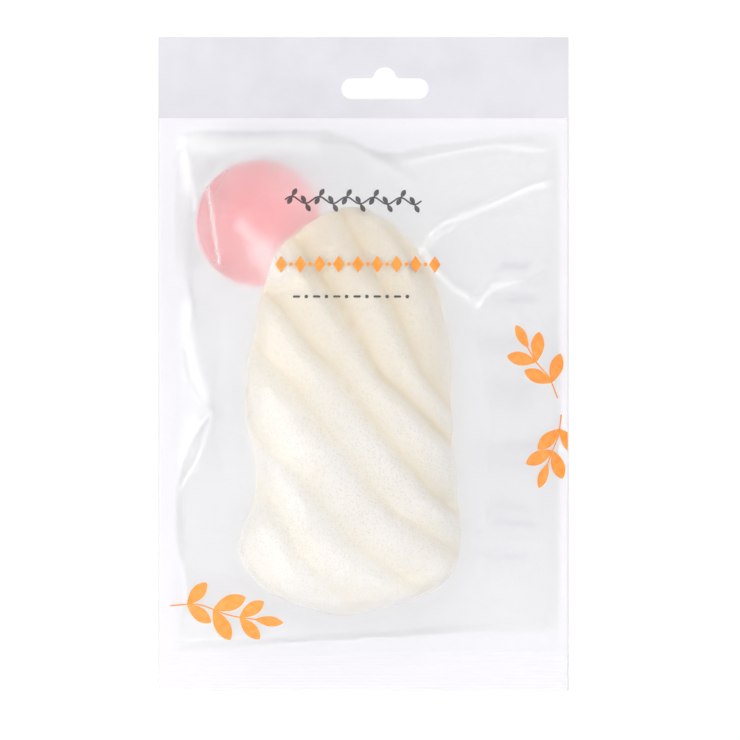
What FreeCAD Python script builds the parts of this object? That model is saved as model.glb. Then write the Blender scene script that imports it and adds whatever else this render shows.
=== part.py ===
"""Konjac body sponge sealed in a hanging pouch, with a suction cup and its hook.

The pouch lies on its back. X runs across it, Y runs up to the header and Z rises towards
whoever looks at it. The origin is on the resting face, under the middle of the pouch.
"""
import FreeCAD, Part
import math
import os

import Sketcher

Vector = FreeCAD.Vector

doc = FreeCAD.newDocument("konjac_sponge_pack")

# Driving dimensions, in millimetres and degrees
SIZES = (
    ("pouch_width", 150.0, "pouch, edge to edge"),
    ("header_depth", 29.5, "header strip, from its fold to its weld"),
    ("header_wall", 0.4, "header strip, both plies together"),
    ("bend_gap", 0.6, "bare line of film on which the header bends"),
    ("film_wall", 0.15, "one web of film"),
    ("left_weld", 6.0, "weld along the left edge"),
    ("right_weld", 3.5, "weld along the right edge"),
    ("mouth_weld", 4.8, "weld below the header"),
    ("bottom_seal", 14.8, "ribbed seal across the bottom"),
    ("rib_pitch", 1.2, "spacing of the seal ribs"),
    ("rib_height", 0.1, "height of the seal ribs"),
    ("slot_length", 32.0, "hang slot, end to end"),
    ("slot_width", 7.7, "hang slot, across"),
    ("slot_offset", 7.8, "hang slot, right of the middle"),
    ("slot_drop", 18.8, "hang slot's centre below the fold"),
    ("bump_radius", 4.3, "round bump above the hang slot"),
    ("bump_rise", 3.6, "bump's centre above the slot's centre"),
    ("bump_flare", 1.2, "rounding where the bump meets the slot"),
    ("soft_clearance", 0.4, "air between loose pieces and the film"),
    ("running_clearance", 0.08, "radial play of the hook on the neck"),
    ("sponge_length", 148.2, "sponge, end to end"),
    ("sponge_width", 82.3, "sponge, at its widest"),
    ("sponge_thickness", 33.0, "sponge, at its highest ridge"),
    ("foot_room", 13.5, "from the bottom seal to the sponge's foot"),
    ("head_room", 28.2, "from the sponge's head to the mouth weld"),
    ("sponge_shift", -4.2, "sponge's long axis from the pouch's middle"),
    ("side_draft", 7.0, "slope of the sponge's sides below their widest line"),
    ("shoulder_radius", 15.0, "roundness of the sponge's upper edges"),
    ("ridge_angle", 49.0, "fall of the ridges below the X axis, degrees"),
    ("valley_width", 4.6, "rounded bottom of a channel, across"),
    ("dome_headroom", 0.8, "air between the highest ridge and the film"),
    ("cup_radius", 22.9, "suction cup's rim"),
    ("cup_depth", 3.6, "hollow of the suction cup"),
    ("cup_wall", 1.4, "suction cup's wall at its middle"),
    ("cup_lip", 0.6, "suction cup's wall at its rim"),
    ("hub_radius", 6.0, "boss under the suction cup"),
    ("hub_height", 0.8, "boss under the suction cup"),
    ("neck_radius", 3.0, "neck that carries the hook"),
    ("neck_height", 2.4, "neck that carries the hook"),
    ("head_radius", 4.4, "button that keeps the hook on"),
    ("head_height", 1.3, "button that keeps the hook on"),
    ("cup_tilt", 10.0, "suction cup's left rim is lifted, degrees"),
    ("cup_inset", 36.4, "suction cup's centre from the pouch's left edge"),
    ("cup_drop", 39.1, "suction cup's centre below the header's weld"),
    ("collar_radius", 5.2, "ring of the hook"),
    ("collar_height", 2.0, "ring of the hook"),
    ("rod_wall", 1.8, "the hook's rod, across its flats"),
    ("hook_reach", 11.0, "hook's straight arm from the neck's axis"),
    ("hook_bend", 4.0, "radius of the hook's bend"),
)

sheet = doc.addObject("Spreadsheet::Sheet", "sizes")
for row, (alias, value, note) in enumerate(SIZES, start=1):
    sheet.set(f"A{row}", note)
    sheet.set(f"B{row}", str(value))
    sheet.setAlias(f"B{row}", alias)
# The pouch is as long as what it holds, with its rooms, seal and weld
length_row = len(SIZES) + 1
sheet.set(f"A{length_row}", "pouch below the header")
sheet.set(f"B{length_row}", "=bottom_seal + foot_room + sponge_length + head_room + mouth_weld")
sheet.setAlias(f"B{length_row}", "pouch_length")
doc.recompute()


def size(alias):
    """The present value of a driving dimension."""
    return float(getattr(sheet, alias))


def evaluate(text):
    """The number that an expression on the sheet's sizes gives."""
    result = sheet.evalExpression(text)
    return float(getattr(result, "Value", result))


# Shares that describe forms. Stations run from the sponge's foot to its head:
# place along the length, left side, right side, crown, left foot lift, right foot lift.
SPONGE_STATION_SHARES = (
    (0.000, -0.180, 0.110, 0.48, 0.20, 0.20),
    (0.037, -0.320, 0.300, 0.70, 0.08, 0.08),
    (0.094, -0.453, 0.444, 0.90, 0.02, 0.02),
    (0.180, -0.507, 0.493, 1.02, 0.00, 0.00),
    (0.430, -0.440, 0.462, 1.02, 0.00, 0.00),
    (0.740, -0.425, 0.413, 1.02, 0.27, 0.00),
    (0.880, -0.351, 0.311, 0.96, 0.43, 0.06),
    (0.950, -0.298, 0.222, 0.87, 0.48, 0.20),
    (1.000, -0.164, 0.133, 0.74, 0.50, 0.40),
)
SPONGE_ZONE_SHARES = (0.180, 0.740)
FOOT_ZONE_SHARE = 0.324
HEAD_ZONE_SHARE = 1.330
WAIST_SHARE = 0.36
END_DROP_SHARE = 0.10
RIDGE_SHARE = 0.27
# Channels across the ridges, as shares of the sponge's length from its middle
CHANNEL_SHARES = (-0.490, -0.392, -0.295, -0.204, -0.075, 0.034, 0.109, 0.219, 0.300, 0.385, 0.475)
REACH_SHARE = 0.58

# Stations of the domed film, from the bottom seal to the mouth weld: place along the room between
# them, then the left and the right side. Each side has its foot, and its knee, hip, shoulder and
# brow with their heights. Shoulder and brow lie over the sponge, at shares of its width from its
# axis. Foot, knee and hip lie at shares of the way from the weld to the shoulder. Heights are
# shares of the dome's height.
DOME_STATION_SHARES = (
    (0.000, (0.185, (0.51, 0.004), (0.795, 0.007), (-0.19, 0.009), (-0.07, 0.009)),
     (0.135, (0.38, 0.004), (0.75, 0.007), (0.295, 0.009), (0.175, 0.009))),
    (0.035, (0.045, (0.395, 0.125), (0.72, 0.21), (-0.265, 0.26), (-0.095, 0.28)),
     (0.025, (0.35, 0.025), (0.73, 0.08), (0.245, 0.19), (0.1, 0.27))),
    (0.067, (0.06, (0.365, 0.185), (0.71, 0.355), (-0.29, 0.505), (-0.19, 0.595)),
     (0.005, (0.32, 0.1), (0.725, 0.255), (0.26, 0.44), (0.135, 0.59))),
    (0.098, (0.075, (0.405, 0.245), (0.76, 0.48), (-0.34, 0.66), (-0.255, 0.77)),
     (0.005, (0.34, 0.17), (0.73, 0.405), (0.295, 0.675), (0.195, 0.79))),
    (0.135, (0.085, (0.47, 0.305), (0.785, 0.575), (-0.4, 0.8), (-0.29, 0.935)),
     (0.005, (0.375, 0.22), (0.76, 0.48), (0.385, 0.805), (0.295, 0.97))),
    (0.204, (0.035, (0.495, 0.365), (0.78, 0.65), (-0.445, 0.89), (-0.33, 0.985)),
     (0.01, (0.365, 0.27), (0.74, 0.545), (0.435, 0.885), (0.355, 0.995))),
    (0.315, (0.025, (0.4, 0.28), (0.77, 0.605), (-0.425, 0.89), (-0.32, 0.98)),
     (0.005, (0.36, 0.32), (0.73, 0.61), (0.43, 0.87), (0.345, 0.99))),
    (0.446, (0.32, (0.54, 0.295), (0.765, 0.58), (-0.405, 0.865), (-0.305, 0.99)),
     (0.005, (0.36, 0.32), (0.73, 0.605), (0.43, 0.845), (0.345, 0.99))),
    (0.578, (0.07, (0.415, 0.29), (0.73, 0.6), (-0.405, 0.865), (-0.315, 0.99)),
     (0.005, (0.345, 0.315), (0.705, 0.58), (0.41, 0.855), (0.295, 0.99))),
    (0.667, (0.145, (0.445, 0.35), (0.765, 0.625), (-0.405, 0.865), (-0.305, 0.98)),
     (0.005, (0.335, 0.29), (0.685, 0.545), (0.395, 0.82), (0.275, 0.98))),
    (0.740, (0.045, (0.32, 0.43), (0.67, 0.64), (-0.37, 0.92), (-0.215, 0.985)),
     (0.005, (0.29, 0.245), (0.63, 0.49), (0.35, 0.775), (0.235, 0.955))),
    (0.788, (0, (0.205, 0.455), (0.6, 0.63), (-0.34, 0.81), (-0.255, 0.94)),
     (0.005, (0.26, 0.215), (0.61, 0.445), (0.29, 0.735), (0.175, 0.935))),
    (0.825, (0, (0.185, 0.46), (0.575, 0.625), (-0.3, 0.735), (-0.215, 0.87)),
     (0.005, (0.265, 0.2), (0.64, 0.435), (0.21, 0.73), (0.1, 0.875))),
    (0.860, (0, (0.18, 0.455), (0.545, 0.6), (-0.275, 0.66), (-0.17, 0.765)),
     (0.005, (0.255, 0.175), (0.655, 0.37), (0.185, 0.595), (0.085, 0.765))),
    (0.888, (0, (0.23, 0.42), (0.59, 0.555), (-0.315, 0.56), (-0.155, 0.54)),
     (0.005, (0.26, 0.135), (0.66, 0.285), (0.195, 0.405), (0.075, 0.505))),
    (0.920, (0.015, (0.36, 0.39), (0.605, 0.495), (-0.385, 0.495), (-0.24, 0.435)),
     (0.005, (0.255, 0.1), (0.675, 0.185), (0.175, 0.245), (-0.045, 0.35))),
    (0.955, (0.065, (0.47, 0.285), (0.72, 0.41), (-0.4, 0.42), (-0.3, 0.355)),
     (0.015, (0.25, 0.06), (0.625, 0.08), (0.075, 0.11), (-0.17, 0.245))),
    (1.000, (0.27, (0.635, 0.004), (0.815, 0.007), (-0.385, 0.009), (-0.3, 0.009)),
     (0.1, (0.25, 0.004), (0.625, 0.004), (0.075, 0.007), (-0.17, 0.009))),
)
DOME_ZONE_SHARES = (0.135, 0.740)
DOME_FOOT_SHARE = 0.454
DOME_HEAD_SHARE = 0.550


def origin_plane(body, role):
    """One of the body's own origin planes or axes."""
    for feature in body.Origin.OriginFeatures:
        if feature.Role == role:
            return feature
    raise ValueError(role)


def new_body(name):
    """A body whose name is also its label."""
    body = doc.addObject("PartDesign::Body", name)
    body.Label = name
    return body


def new_sketch(body, name, role):
    """A sketch on one of the body's origin planes."""
    sketch = body.newObject("Sketcher::SketchObject", name)
    sketch.AttachmentSupport = (origin_plane(body, role), [""])
    sketch.MapMode = "FlatFace"
    return sketch


def hold(sketch, geometry, point, across, along):
    """Ties a point of the sketch to two expressions, measured from the sketch's origin."""
    for kind, text, axis in (("DistanceX", across, -2), ("DistanceY", along, -1)):
        if text == "0":
            sketch.addConstraint(Sketcher.Constraint("PointOnObject", geometry, point, axis))
            continue
        rule = Sketcher.Constraint(kind, -1, 1, geometry, point, evaluate(text.replace("sizes.", "")))
        index = sketch.addConstraint(rule)
        sketch.setExpression(f"Constraints[{index}]", text)


def spot(across, along):
    """The present place of a point that two expressions give."""
    return Vector(evaluate(across.replace("sizes.", "")), evaluate(along.replace("sizes.", "")), 0)


def polygon(sketch, corners):
    """A closed outline through corners given as expressions."""
    spots = [spot(*corner) for corner in corners]
    count = len(spots)
    for index, start in enumerate(spots):
        sketch.addGeometry(Part.LineSegment(start, spots[(index + 1) % count]))
    for index, corner in enumerate(corners):
        sketch.addConstraint(Sketcher.Constraint("Coincident", index, 2, (index + 1) % count, 1))
        hold(sketch, index, 1, *corner)


def pad(body, sketch, name, length):
    """A pad whose length is an expression."""
    feature = body.newObject("PartDesign::Pad", name)
    feature.Profile = sketch
    feature.setExpression("Length", length)
    return feature


def pocket_through(body, sketch, name, length):
    """A pocket that starts at the sketch and runs up through the solid."""
    feature = body.newObject("PartDesign::Pocket", name)
    feature.Profile = sketch
    feature.Reversed = True
    feature.setExpression("Length", length)
    return feature


# Header strip: a rounded slab with the hang slot, folded edge on top
header = new_body("header_strip")
header.setExpression("Placement.Base.y", "(sizes.pouch_length - sizes.header_depth) / 2")
outline = new_sketch(header, "header_outline", "XY_Plane")
polygon(
    outline,
    (
        ("-sizes.pouch_width / 2", "0"),
        ("sizes.pouch_width / 2", "0"),
        ("sizes.pouch_width / 2", "sizes.header_depth"),
        ("-sizes.pouch_width / 2", "sizes.header_depth"),
    ),
)
pad(header, outline, "header_slab", "sizes.header_wall")

slot_end = "(sizes.slot_length - sizes.slot_width) / 2"
slot_height = "sizes.header_depth - sizes.slot_drop"
slot_sketch = new_sketch(header, "slot_outline", "XY_Plane")
slot_half = size("slot_width") / 2
for side in (-1, 1):
    centre = spot(f"sizes.slot_offset + {side} * {slot_end}", slot_height)
    circle = Part.Circle(centre, Vector(0, 0, 1), slot_half)
    quarter = side * math.pi / 2
    slot_sketch.addGeometry(Part.ArcOfCircle(circle, -quarter, quarter + (0 if side > 0 else 2 * math.pi)))
for height in (-slot_half, slot_half):
    ends = [
        spot(f"sizes.slot_offset + {side} * {slot_end}", slot_height) + Vector(0, height, 0)
        for side in (-1, 1)
    ]
    slot_sketch.addGeometry(Part.LineSegment(*ends))
for arc, line, arc_point, line_point in ((0, 2, 2, 1), (0, 3, 1, 1), (1, 2, 1, 2), (1, 3, 2, 2)):
    slot_sketch.addConstraint(Sketcher.Constraint("Tangent", arc, arc_point, line, line_point))
slot_sketch.addConstraint(Sketcher.Constraint("Equal", 0, 1))
radius_rule = slot_sketch.addConstraint(Sketcher.Constraint("Radius", 0, slot_half))
slot_sketch.setExpression(f"Constraints[{radius_rule}]", "sizes.slot_width / 2")
for arc, side in ((0, -1), (1, 1)):
    hold(slot_sketch, arc, 3, f"sizes.slot_offset + {side} * {slot_end}", slot_height)
pocket_through(header, slot_sketch, "slot", "sizes.header_wall * 2")

bump_sketch = new_sketch(header, "bump_outline", "XY_Plane")
bump_height = f"{slot_height} + sizes.bump_rise"
bump = bump_sketch.addGeometry(
    Part.Circle(spot("sizes.slot_offset", bump_height), Vector(0, 0, 1), size("bump_radius"))
)
bump_rule = bump_sketch.addConstraint(Sketcher.Constraint("Radius", bump, size("bump_radius")))
bump_sketch.setExpression(f"Constraints[{bump_rule}]", "sizes.bump_radius")
hold(bump_sketch, bump, 3, "sizes.slot_offset", bump_height)
bump_pocket = pocket_through(header, bump_sketch, "slot_bump", "sizes.header_wall * 2")
doc.recompute()


def edges_of(shape, test):
    """Names of the edges whose middle and direction pass a test."""
    names = []
    for index, edge in enumerate(shape.Edges, start=1):
        first = edge.valueAt(edge.FirstParameter)
        last = edge.valueAt(edge.LastParameter)
        if test((first + last) / 2, last - first):
            names.append(f"Edge{index}")
    return names


def is_bump_foot(middle, run):
    """The two upright edges where the bump meets the slot."""
    upright = abs(run.z) > size("header_wall") / 2 and abs(run.x) + abs(run.y) < size("film_wall")
    beside = abs(middle.x - size("slot_offset")) < size("bump_radius") + size("film_wall")
    top = evaluate(slot_height.replace("sizes.", "")) + slot_half
    return upright and beside and abs(middle.y - top) < size("film_wall")


def is_fold(middle, run):
    """The two long edges of the header's folded top."""
    return abs(run.x) > size("slot_length") and middle.y > size("header_depth") - size("film_wall")


flare = header.newObject("PartDesign::Fillet", "bump_flares")
flare.Base = (bump_pocket, edges_of(bump_pocket.Shape, is_bump_foot))
flare.setExpression("Radius", "sizes.bump_flare")
doc.recompute()
fold = header.newObject("PartDesign::Fillet", "folded_edge")
fold.Base = (flare, edges_of(flare.Shape, is_fold))
fold.setExpression("Radius", "sizes.header_wall * 0.45")
doc.recompute()

# Back film: one flat web, from the bottom edge to the line where the header bends
back = new_body("back_film")
back.setExpression("Placement.Base.y", "-(sizes.pouch_length + sizes.header_depth) / 2")
back_outline = new_sketch(back, "back_outline", "XY_Plane")
polygon(
    back_outline,
    (
        ("-sizes.pouch_width / 2", "0"),
        ("sizes.pouch_width / 2", "0"),
        ("sizes.pouch_width / 2", "sizes.pouch_length - sizes.bend_gap"),
        ("-sizes.pouch_width / 2", "sizes.pouch_length - sizes.bend_gap"),
    ),
)
pad(back, back_outline, "back_web", "sizes.film_wall")

# Suction cup: a shallow dish turned about its own axis, with boss, neck and button below
cup_floor = "-(sizes.cup_depth + sizes.cup_wall)"
hub_floor = f"{cup_floor} - sizes.hub_height"
neck_floor = f"{hub_floor} - sizes.neck_height"
head_floor = f"{neck_floor} - sizes.head_height"
cup = new_body("suction_cup")
cup_profile = new_sketch(cup, "cup_profile", "XZ_Plane")
polygon(
    cup_profile,
    (
        ("0", "-sizes.cup_depth"),
        ("sizes.hub_radius", "-sizes.cup_depth"),
        ("sizes.cup_radius", "0"),
        ("sizes.cup_radius", "-sizes.cup_lip"),
        ("sizes.hub_radius", cup_floor),
        ("sizes.hub_radius", hub_floor),
        ("sizes.neck_radius", hub_floor),
        ("sizes.neck_radius", neck_floor),
        ("sizes.head_radius", neck_floor),
        ("sizes.head_radius", head_floor),
        ("0", head_floor),
    ),
)
turned = cup.newObject("PartDesign::Revolution", "turned_cup")
turned.Profile = cup_profile
turned.ReferenceAxis = (cup_profile, ["V_Axis"])
turned.Angle = 360

cup_stack = (
    "(sizes.cup_depth + sizes.cup_wall + sizes.hub_height + sizes.neck_height + sizes.head_height)"
)
cup_height = (
    f"sizes.film_wall + sizes.soft_clearance + {cup_stack} * cos(sizes.cup_tilt * 1 deg)"
    " + sizes.head_radius * sin(sizes.cup_tilt * 1 deg)"
)
cup_place = (
    "sizes.cup_inset - sizes.pouch_width / 2",
    "(sizes.pouch_length - sizes.header_depth) / 2 - sizes.cup_drop",
    cup_height,
)


def lay_on_tilt(body):
    """Puts the cup, or the hook that it carries, at the tilt of the cup's rim."""
    body.Placement = FreeCAD.Placement(Vector(), FreeCAD.Rotation(Vector(0, 1, 0), size("cup_tilt")))
    for direction, text in zip("xyz", cup_place):
        body.setExpression(f"Placement.Base.{direction}", text)


lay_on_tilt(cup)

# Cup hook: a ring that turns on the neck, and a square rod bent into a hook
hook = new_body("cup_hook")
ring_play = "(sizes.neck_height - sizes.collar_height) / 2"
ring_top = f"{hub_floor} - {ring_play}"
ring_floor = f"{ring_top} - sizes.collar_height"
ring_profile = new_sketch(hook, "ring_profile", "XZ_Plane")
polygon(
    ring_profile,
    (
        ("sizes.neck_radius + sizes.running_clearance", ring_floor),
        ("sizes.collar_radius", ring_floor),
        ("sizes.collar_radius", ring_top),
        ("sizes.neck_radius + sizes.running_clearance", ring_top),
    ),
)
ring = hook.newObject("PartDesign::Revolution", "ring")
ring.Profile = ring_profile
ring.ReferenceAxis = (ring_profile, ["V_Axis"])
ring.Angle = 360

rod_level = f"{ring_top} - sizes.collar_height / 2"
rod_start = "(sizes.neck_radius + sizes.collar_radius) / 2"
rod_path = new_sketch(hook, "rod_path", "XY_Plane")
rod_path.setExpression("AttachmentOffset.Base.z", rod_level)
arm = rod_path.addGeometry(
    Part.LineSegment(spot(f"-{rod_start}", "0"), Vector(-size("hook_reach"), 0, 0))
)
bend_circle = Part.Circle(Vector(-size("hook_reach"), size("hook_bend"), 0), Vector(0, 0, 1), size("hook_bend"))
bend = rod_path.addGeometry(Part.ArcOfCircle(bend_circle, math.pi / 2, 3 * math.pi / 2))
rod_path.addConstraint(Sketcher.Constraint("Tangent", arm, 2, bend, 2))
hold(rod_path, arm, 1, f"-{rod_start}", "0")
hold(rod_path, arm, 2, "-sizes.hook_reach", "0")
bend_rule = rod_path.addConstraint(Sketcher.Constraint("Radius", bend, size("hook_bend")))
rod_path.setExpression(f"Constraints[{bend_rule}]", "sizes.hook_bend")
rod_path.addConstraint(Sketcher.Constraint("Vertical", bend, 1, bend, 3))

rod_section = new_sketch(hook, "rod_section", "YZ_Plane")
rod_section.setExpression("AttachmentOffset.Base.z", f"-{rod_start}")
rod_half = "sizes.rod_wall / 2"
polygon(
    rod_section,
    (
        (f"-{rod_half}", f"{rod_level} - {rod_half}"),
        (rod_half, f"{rod_level} - {rod_half}"),
        (rod_half, f"{rod_level} + {rod_half}"),
        (f"-{rod_half}", f"{rod_level} + {rod_half}"),
    ),
)
doc.recompute()
rod = hook.newObject("PartDesign::AdditivePipe", "rod")
rod.Profile = rod_section
rod.Spine = (rod_path, ["Edge1", "Edge2"])
doc.recompute()
lay_on_tilt(hook)


def three_point_arc(start, end, bulge, towards):
    """An arc between two points that stands off its chord by a length, on the side given."""
    middle = (start + end) / 2 + towards.normalize() * bulge
    return Part.Arc(start, middle, end).toShape()


def quarter_round(start, end, corner):
    """The arc that rounds a corner between two points, as a quarter of an oval does."""
    lean = 1 - math.sqrt(0.5)
    middle = corner + (start - corner) * lean + (end - corner) * lean
    return Part.Arc(start, middle, end).toShape()


def line(start, end):
    """A straight edge."""
    return Part.LineSegment(start, end).toShape()


def place_along(share, zones, foot_zone, head_zone, length):
    """Distance from a foot. The zones at both ends keep their lengths, and the stretch between takes the rest."""
    low, high = zones
    if share <= low:
        return share / low * foot_zone
    if share >= high:
        return length - (1 - share) / (1 - high) * head_zone
    return foot_zone + (share - low) / (high - low) * (length - foot_zone - head_zone)


# Konjac sponge: a pillow with rounded edges, cut back by a fan of rounded ridges
bottom_edge = -(size("pouch_length") + size("header_depth")) / 2
sponge_foot = bottom_edge + size("bottom_seal") + size("foot_room")
foot_zone = FOOT_ZONE_SHARE * size("sponge_width")
cup_overlap = size("cup_drop") + size("cup_radius") - size("mouth_weld") - size("head_room")
head_zone = HEAD_ZONE_SHARE * cup_overlap
sponge_base = size("film_wall") + size("soft_clearance")
sponge_middle = Vector(size("sponge_shift"), sponge_foot + size("sponge_length") / 2, sponge_base)


def pillow_outline(station):
    """The upright outline across the sponge at one station: flat foot, drafted sides, round shoulders."""
    along, left, right, crown, left_lift, right_lift = station
    width = size("sponge_width")
    thick = size("sponge_thickness")
    y = sponge_foot + place_along(along, SPONGE_ZONE_SHARES, foot_zone, head_zone, size("sponge_length"))
    x_left = size("sponge_shift") + left * width
    x_right = size("sponge_shift") + right * width
    top = sponge_base + crown * thick
    low_left = sponge_base + left_lift * thick
    low_right = sponge_base + right_lift * thick
    fullness = min(1, (x_right - x_left) / width + WAIST_SHARE / 2)
    draft = size("side_draft") * fullness
    shoulder = size("shoulder_radius") * fullness
    foot_right = Vector(x_right - draft, y, low_right)
    foot_left = Vector(x_left + draft, y, low_left)
    left_side = Vector(x_left, y, low_left + (top - low_left) * WAIST_SHARE)
    left_top = Vector(x_left + shoulder, y, top)
    right_top = Vector(x_right - shoulder, y, top)
    right_side = Vector(x_right, y, low_right + (top - low_right) * WAIST_SHARE)
    edges = [
        line(foot_right, foot_left),
        line(foot_left, left_side),
        quarter_round(left_side, left_top, Vector(x_left, y, top)),
        line(left_top, right_top),
        quarter_round(right_top, right_side, Vector(x_right, y, top)),
        line(right_side, foot_right),
    ]
    return Part.Wire(edges)


def crown_height(place):
    """How high the ridges' flanks stand at a share of the fan's reach, lower towards its ends."""
    widest = max(b - a for a, b in zip(CHANNEL_SHARES, CHANNEL_SHARES[1:])) * size("sponge_length")
    ridge = (widest - size("valley_width")) * RIDGE_SHARE
    return sponge_base + size("sponge_thickness") * (1 - END_DROP_SHARE * place**2) - ridge


def ridge_outline():
    """The outline across all ridges: arcs up over each ridge and down through each channel."""
    reach = REACH_SHARE * size("sponge_length")
    half = size("valley_width") / 2
    places = [-reach]
    for share in CHANNEL_SHARES:
        centre = share * size("sponge_length")
        places += [centre - half, centre + half]
    places.append(reach)
    start = sponge_middle - ridge_run * reach
    spots = [start + ridge_across * place for place in places]
    for spot_here, place in zip(spots, places):
        spot_here.z = crown_height(place / reach)
    edges = []
    for index, (first, last) in enumerate(zip(spots, spots[1:])):
        up = Vector(0, 0, 1 if index % 2 == 0 else -1)
        edges.append(three_point_arc(first, last, RIDGE_SHARE * (last - first).Length, up))
    floor = sponge_base - size("soft_clearance")
    low_first = Vector(spots[0].x, spots[0].y, floor)
    low_last = Vector(spots[-1].x, spots[-1].y, floor)
    edges += [line(spots[-1], low_last), line(low_last, low_first), line(low_first, spots[0])]
    return Part.Wire(edges)


ridge_angle = math.radians(size("ridge_angle"))
ridge_run = Vector(math.cos(ridge_angle), -math.sin(ridge_angle), 0)
ridge_across = Vector(math.sin(ridge_angle), math.cos(ridge_angle), 0)
pillow = Part.makeLoft([pillow_outline(station) for station in SPONGE_STATION_SHARES], True, True)
ridges = Part.Face(ridge_outline()).extrude(ridge_run * (2 * REACH_SHARE * size("sponge_length")))
sponge = doc.addObject("Part::Feature", "konjac_sponge")
sponge.Label = "konjac_sponge"
sponge.Shape = pillow.common(ridges).Solids[0]

# Front film: a flat flange and a dome of one thickness, with ribs pressed into the bottom seal
flange_low = size("film_wall")
flange_top = 2 * size("film_wall")
weld_left = size("left_weld") - size("pouch_width") / 2
weld_right = size("pouch_width") / 2 - size("right_weld")
room_low = bottom_edge + size("bottom_seal")
room_high = bottom_edge + size("pouch_length") - size("mouth_weld")
dome_foot_zone = size("foot_room") + DOME_FOOT_SHARE * foot_zone
dome_head_zone = size("head_room") + DOME_HEAD_SHARE * head_zone
dome_top = sponge_base + size("sponge_thickness") + size("dome_headroom") + size("film_wall")


def dome_side(y, weld, foot, knee, hip, shoulder, brow):
    """One side of a dome station, from its foot beside the weld up to its brow."""
    rise = dome_top - flange_top
    shoulder_x = size("sponge_shift") + shoulder[0] * size("sponge_width")
    brow_x = size("sponge_shift") + brow[0] * size("sponge_width")
    corners = [
        Vector(weld + share * (shoulder_x - weld), y, flange_top + height * rise)
        for share, height in ((foot, 0), knee, hip)
    ]
    corners.append(Vector(shoulder_x, y, flange_top + shoulder[1] * rise))
    corners.append(Vector(brow_x, y, flange_top + brow[1] * rise))
    return corners


def dome_outline(station):
    """The upright outline of the domed film at one station, closed along the flange's underside."""
    along, left, right = station
    y = room_low + place_along(along, DOME_ZONE_SHARES, dome_foot_zone, dome_head_zone, room_high - room_low)
    up = dome_side(y, weld_left, *left)
    down = dome_side(y, weld_right, *right)[::-1]
    under_left = Vector(up[0].x, y, flange_low)
    under_right = Vector(down[-1].x, y, flange_low)
    return [under_right, under_left, *up, *down]


def creased_solid(outlines):
    """A solid through outlines of equally many corners, with two flat facets between each pair of edges."""
    facets = [outlines[0], outlines[-1]]
    for near, far in zip(outlines, outlines[1:]):
        for index in range(len(near)):
            after = (index + 1) % len(near)
            facets.append([near[index], near[after], far[after]])
            facets.append([near[index], far[after], far[index]])
    faces = [Part.Face(Part.makePolygon([*facet, facet[0]])) for facet in facets]
    solid = Part.makeSolid(Part.makeShell(faces))
    solid.fix(Part.Precision.confusion(), Part.Precision.confusion(), Part.Precision.confusion())
    return solid


def seal_rib(index):
    """One rounded rib across the bottom seal, pressed up from the flange."""
    y = bottom_edge + (index + 1) * size("rib_pitch")
    half = size("rib_pitch") / 4
    start = Vector(-size("pouch_width") / 2, y - half, flange_top)
    end = Vector(start.x, y + half, flange_top)
    hump = three_point_arc(start, end, size("rib_height"), Vector(0, 0, 1))
    face = Part.Face(Part.Wire([hump, line(end, start)]))
    return face.extrude(Vector(size("pouch_width"), 0, 0))


dome = creased_solid([dome_outline(station) for station in DOME_STATION_SHARES])
hollow = dome.translated(Vector(0, 0, -size("film_wall")))
flange = Part.makeBox(
    size("pouch_width"),
    size("pouch_length") - size("bend_gap"),
    size("film_wall"),
    Vector(-size("pouch_width") / 2, bottom_edge, flange_low),
)
rib_count = int(size("bottom_seal") / size("rib_pitch")) - 1
front = doc.addObject("Part::Feature", "front_film")
front.Label = "front_film"
front.Shape = flange.fuse([dome] + [seal_rib(i) for i in range(rib_count)]).cut(hollow).Solids[0]

doc.recompute()

SUB_PARTS = (header, front, back, sponge, cup, hook)
for item in doc.Objects:
    if "Invalid" in item.State or "Error" in item.State:
        raise RuntimeError(f"{item.Name} is {item.State}")
os.makedirs("parts", exist_ok=True)
for item in SUB_PARTS:
    shape = item.Shape
    if shape.isNull() or not shape.isValid() or not shape.Solids:
        raise RuntimeError(f"{item.Label} has no valid solid")
    print(f"{item.Label}: {len(shape.Solids)} solid, {shape.Volume:.1f} cubic mm, {len(shape.Faces)} faces")
    shape.exportStep(f"parts/{item.Label}.step")
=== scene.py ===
# %% [markdown]
# A konjac body sponge in its hanging pouch, with a small suction cup to hang it by. The pouch lies
# on its back. X runs across it, Y up to its header and Z towards the camera, all in metres. The
# frame brings the solids, their bodies and their joints. The header and the hook keep their solids
# here and get a material. The sponge, the cup and the two webs of film are modelled anew in place.
# %% The frame
import math
import bpy
import numpy as np
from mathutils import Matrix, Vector
from mathutils.bvhtree import BVHTree


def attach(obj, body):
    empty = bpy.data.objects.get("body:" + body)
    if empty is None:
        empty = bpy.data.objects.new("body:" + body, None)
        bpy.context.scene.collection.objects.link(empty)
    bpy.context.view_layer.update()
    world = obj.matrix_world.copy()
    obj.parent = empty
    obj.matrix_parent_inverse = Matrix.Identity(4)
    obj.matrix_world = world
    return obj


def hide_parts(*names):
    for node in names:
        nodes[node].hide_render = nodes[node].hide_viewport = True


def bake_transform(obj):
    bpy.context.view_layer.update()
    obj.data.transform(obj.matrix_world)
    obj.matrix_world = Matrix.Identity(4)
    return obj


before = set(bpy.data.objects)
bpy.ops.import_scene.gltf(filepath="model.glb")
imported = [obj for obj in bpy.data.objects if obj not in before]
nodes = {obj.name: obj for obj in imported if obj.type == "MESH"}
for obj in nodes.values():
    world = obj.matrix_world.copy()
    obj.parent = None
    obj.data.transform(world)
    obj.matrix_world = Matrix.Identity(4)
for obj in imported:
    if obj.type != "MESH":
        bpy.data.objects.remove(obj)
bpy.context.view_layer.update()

# %% [markdown]
# Sizes are written in millimetres, as on a drawing, and become metres with one factor. Blender's
# operators act on whatever is selected, so each piece starts from an empty selection.
# %% Units and selection
MM = 0.001
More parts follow.
